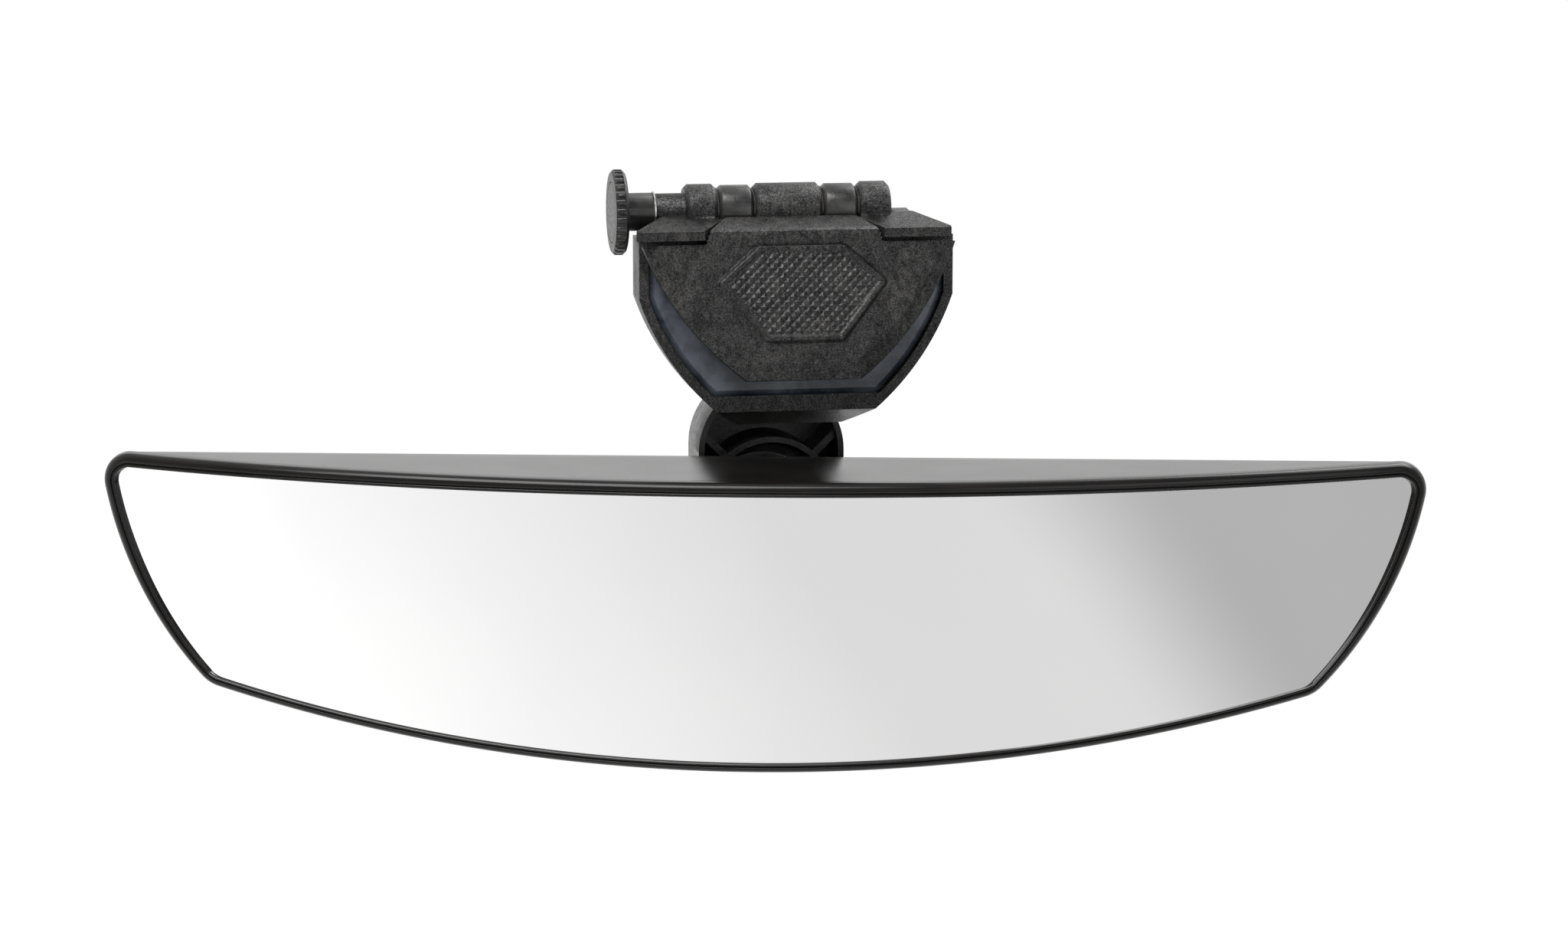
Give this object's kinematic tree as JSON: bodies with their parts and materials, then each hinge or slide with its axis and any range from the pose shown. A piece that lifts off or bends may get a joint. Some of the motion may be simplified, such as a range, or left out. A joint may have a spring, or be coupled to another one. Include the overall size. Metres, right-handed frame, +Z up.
{
  "type": "interior rearview mirror",
  "caption": "Clamp-on panoramic rearview mirror: convex glass in a D-shaped housing on a ball joint, a drop arm and a hinged clamp locked by a side knob.",
  "frame": {"origin": "middle of the rear jaw's grip face, where the clamped frame or visor stem is held", "axes": "+X right across the hinge, +Y away from the driver, +Z up"},
  "size_m": [0.3546, 0.0987, 0.1578],
  "materials": {
    "textured_nylon": "matte",
    "moulded_black": "satin",
    "grip_rubber": "satin",
    "satin_shell": "satin",
    "satin_bezel": "satin",
    "mirror_glass": "polished",
    "steel": "satin",
    "dark_steel": "satin",
    "liner_nylon": "satin"
  },
  "bodies": {
    "rear_clamp": {"rear_jaw": "textured_nylon", "rear_pad": "grip_rubber", "friction_washers": "moulded_black", "lock_nut": "steel"},
    "lock_knob_body": {"lock_knob": "moulded_black", "knob_cap": "moulded_black", "hinge_bolt": "steel", "thrust_washer": "steel"},
    "front_clamp": {"front_jaw": "textured_nylon", "front_pad": "grip_rubber"},
    "drop_arm": {"arm": "moulded_black", "pressure_pad": "steel", "tension_screw": "dark_steel", "socket_ring": "moulded_black"},
    "pan_liner": {"ball_liner": "liner_nylon"},
    "tilt_stud": {"ball_stud": "steel", "stud_nut": "steel"},
    "mirror_head": {"back_shell": "satin_shell", "glass_carrier": "moulded_black", "mirror_glass": "mirror_glass", "bezel": "satin_bezel", "shell_screws": "dark_steel", "mount_flange": "moulded_black", "plate_screws": "dark_steel", "stud_plate": "steel"}
  },
  "joints": [
    {"name": "jaw_hinge", "type": "hinge", "parent": "rear_clamp", "child": "front_clamp", "pos_m": [-0.0019, 0.0062, 0.03], "axis": [1, 0, 0], "range_deg": [-4, 10]},
    {"name": "knob_turn", "type": "hinge", "parent": "rear_clamp", "child": "lock_knob_body", "pos_m": [-0.0019, 0.0062, 0.03], "axis": [1, 0, 0], "range_deg": [0, 360]},
    {"name": "arm_hinge", "type": "hinge", "parent": "rear_clamp", "child": "drop_arm", "pos_m": [-0.0019, 0.0062, 0.03], "axis": [1, 0, 0], "range_deg": [0, 110]},
    {"name": "ball_pan", "type": "hinge", "parent": "drop_arm", "child": "pan_liner", "pos_m": [-0.0019, 0.0372, -0.054], "axis": [0, 0, 1], "range_deg": [-7.7, 30]},
    {"name": "ball_tilt", "type": "hinge", "parent": "pan_liner", "child": "tilt_stud", "pos_m": [-0.0019, 0.0372, -0.054], "axis": [0.977, -0.213, 0], "range_deg": [-12, 12]},
    {"name": "head_roll", "type": "hinge", "parent": "tilt_stud", "child": "mirror_head", "pos_m": [-0.0019, 0.0372, -0.054], "axis": [0.213, 0.977, 0], "range_deg": [-5, 5]}
  ]
}
